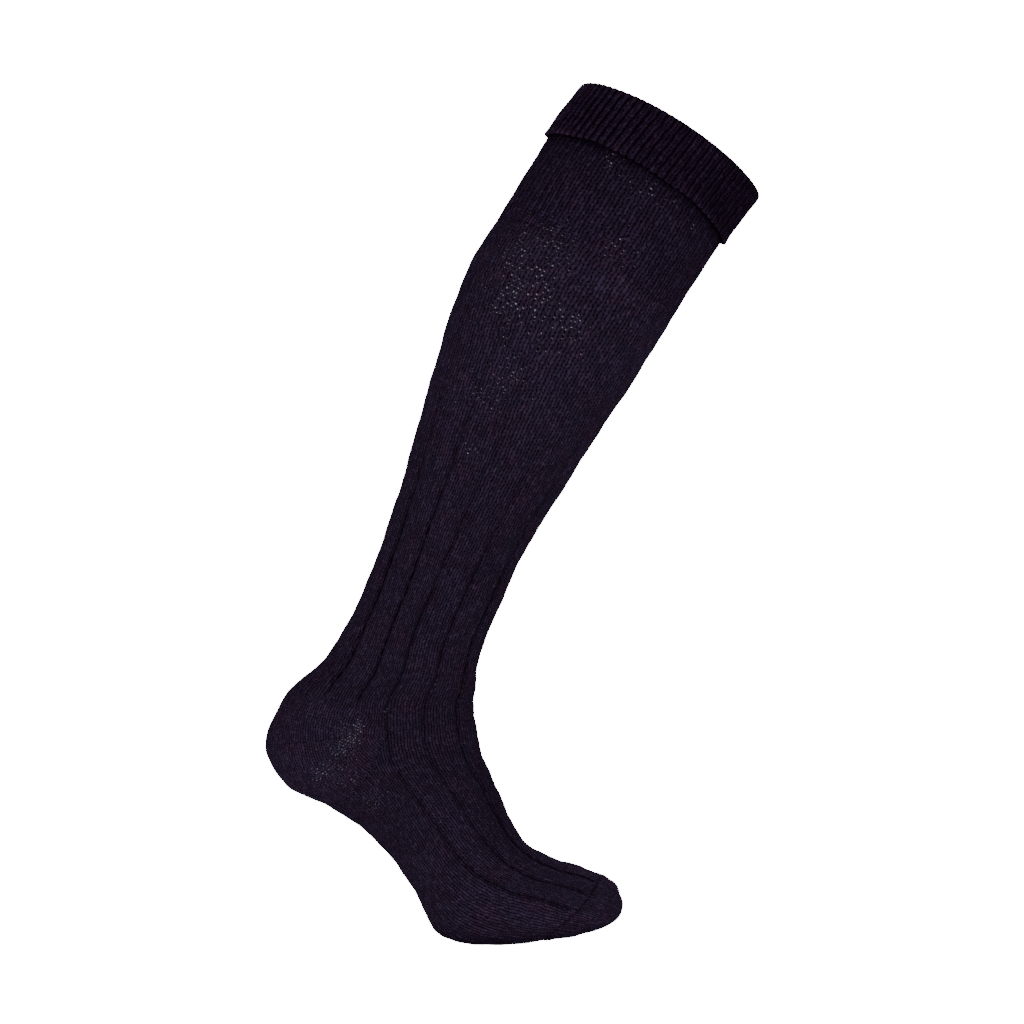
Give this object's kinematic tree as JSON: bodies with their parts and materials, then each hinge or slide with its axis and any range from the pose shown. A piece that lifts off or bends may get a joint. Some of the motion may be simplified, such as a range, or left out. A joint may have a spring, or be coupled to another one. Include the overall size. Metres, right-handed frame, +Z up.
{
  "type": "kilt sock",
  "caption": "Knee-high knitted kilt sock held in the form of a leg, with a fine-ribbed turned-over cuff, broad-ribbed leg and instep, and plain heel and toe pockets.",
  "frame": {"origin": "middle of the mouth, on the fold of the rim, where the leg goes in and the sock is held up", "axes": "+X from the heel towards the toe, +Z up the leg with the foot pointing down as it is worn on tiptoe, +Y across"},
  "size_m": [0.3154, 0.121, 0.5476],
  "materials": {
    "cuff_rib_knit": "matt thick knitted wool, closed up in fine ribs",
    "fine_rib_knit": "matt knitted wool in fine ribs",
    "broad_rib_knit": "matt knitted wool in broad ribs",
    "plain_knit": "matt knitted wool in plain stitch"
  },
  "bodies": {
    "root": {"turnover_cuff": "cuff_rib_knit", "garter_band": "fine_rib_knit", "leg_calf": "broad_rib_knit", "leg_shin": "broad_rib_knit", "leg_ankle": "broad_rib_knit", "heel": "plain_knit", "foot_arch": "broad_rib_knit", "foot_ball": "broad_rib_knit", "toe": "plain_knit"}
  },
  "joints": []
}
